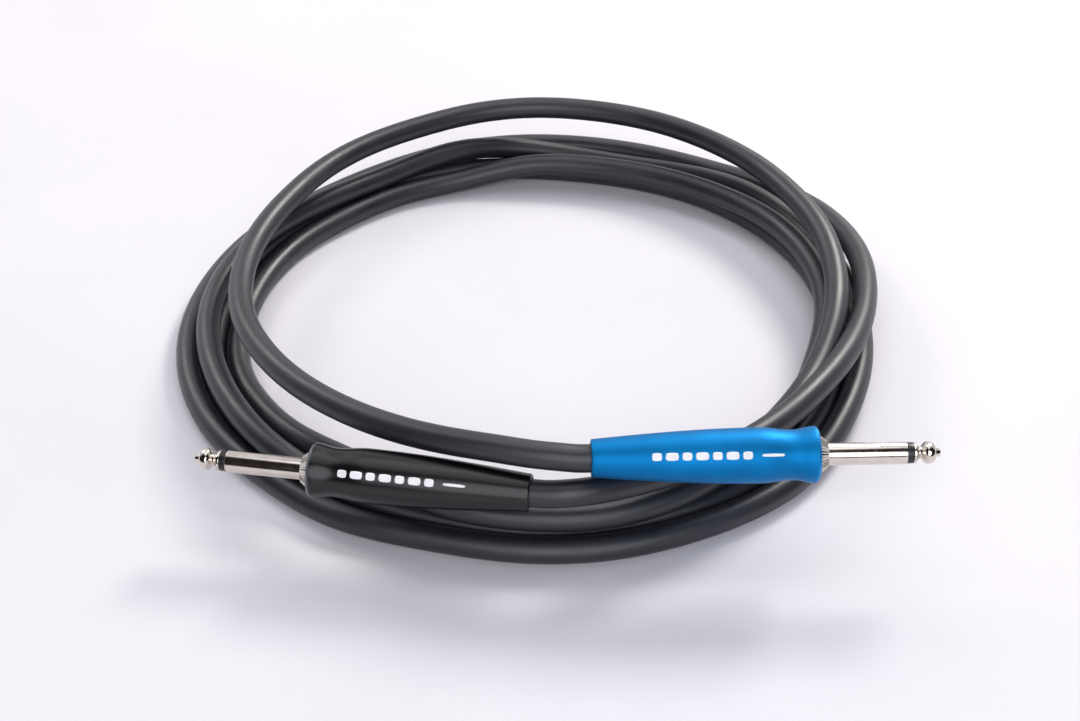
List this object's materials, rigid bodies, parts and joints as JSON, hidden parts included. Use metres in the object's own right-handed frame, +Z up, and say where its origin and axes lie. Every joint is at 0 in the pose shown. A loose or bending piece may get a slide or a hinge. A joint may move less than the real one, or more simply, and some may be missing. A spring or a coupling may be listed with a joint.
{
  "type": "instrument cable",
  "caption": "Coiled round cable with a straight jack plug on each end, one in a blue barrel and one in a black barrel that unscrew from the plugs.",
  "frame": {"origin": "on the resting surface, under the middle of the whole object's box", "axes": "+Z up; +X from the black plug's side towards the blue plug's side; -Y towards the side of the coil on which both plugs lie"},
  "size_m": [0.2359, 0.2352, 0.0425],
  "materials": {
    "jacket": "matte",
    "blue_barrel": "satin anodised",
    "black_barrel": "satin anodised",
    "nickel": "polished nickel plate",
    "black_plastic": "moulded",
    "ivory_plastic": "moulded",
    "white_liner": "extruded tube",
    "fibre_washer": "pressed fibre",
    "brass_lug": "stamped sheet",
    "copper": "bare copper",
    "solder": "tin solder"
  },
  "bodies": {
    "cable": {"coil": "jacket", "free_loop": "jacket", "lead": "jacket", "blue_sleeve": "nickel", "blue_gap_ring": "black_plastic", "blue_tip": "nickel", "blue_rod_tube": "ivory_plastic", "blue_washer": "fibre_washer", "blue_tip_lug": "brass_lug", "blue_ground_lug": "nickel", "blue_core_insulation": "ivory_plastic", "blue_conductor": "copper", "blue_shield_pigtail": "copper", "blue_tip_solder": "solder", "blue_ground_solder": "solder", "black_sleeve": "nickel", "black_gap_ring": "black_plastic", "black_tip": "nickel", "black_rod_tube": "ivory_plastic", "black_washer": "fibre_washer", "black_tip_lug": "brass_lug", "black_ground_lug": "nickel", "black_core_insulation": "ivory_plastic", "black_conductor": "copper", "black_shield_pigtail": "copper", "black_tip_solder": "solder", "black_ground_solder": "solder"},
    "blue_liner_body": {"blue_liner": "white_liner"},
    "blue_barrel_body": {"blue_barrel": "blue_barrel"},
    "black_liner_body": {"black_liner": "white_liner"},
    "black_barrel_body": {"black_barrel": "black_barrel"}
  },
  "joints": [
    {"name": "blue_barrel_back", "type": "slide", "parent": "cable", "child": "blue_liner_body", "axis": [-0.9997, -0.0262, 0], "range_m": [0, 0.005]},
    {"name": "blue_barrel_turn", "type": "hinge", "parent": "blue_liner_body", "child": "blue_barrel_body", "pos_m": [0.04774, -0.10532, 0.0345], "axis": [-0.9997, -0.0262, 0], "range_deg": [0, 1800]},
    {"name": "black_barrel_back", "type": "slide", "parent": "cable", "child": "black_liner_body", "axis": [0.9884, -0.1521, 0], "range_m": [0, 0.005]},
    {"name": "black_barrel_turn", "type": "hinge", "parent": "black_liner_body", "child": "black_barrel_body", "pos_m": [-0.0286, -0.10484, 0.0245], "axis": [0.9884, -0.1521, 0], "range_deg": [0, 1800]}
  ],
  "couplings": [
    {"joint": "blue_barrel_back", "follows": "blue_barrel_turn", "m_per_rad": 0.00015915},
    {"joint": "black_barrel_back", "follows": "black_barrel_turn", "m_per_rad": 0.00015915}
  ]
}
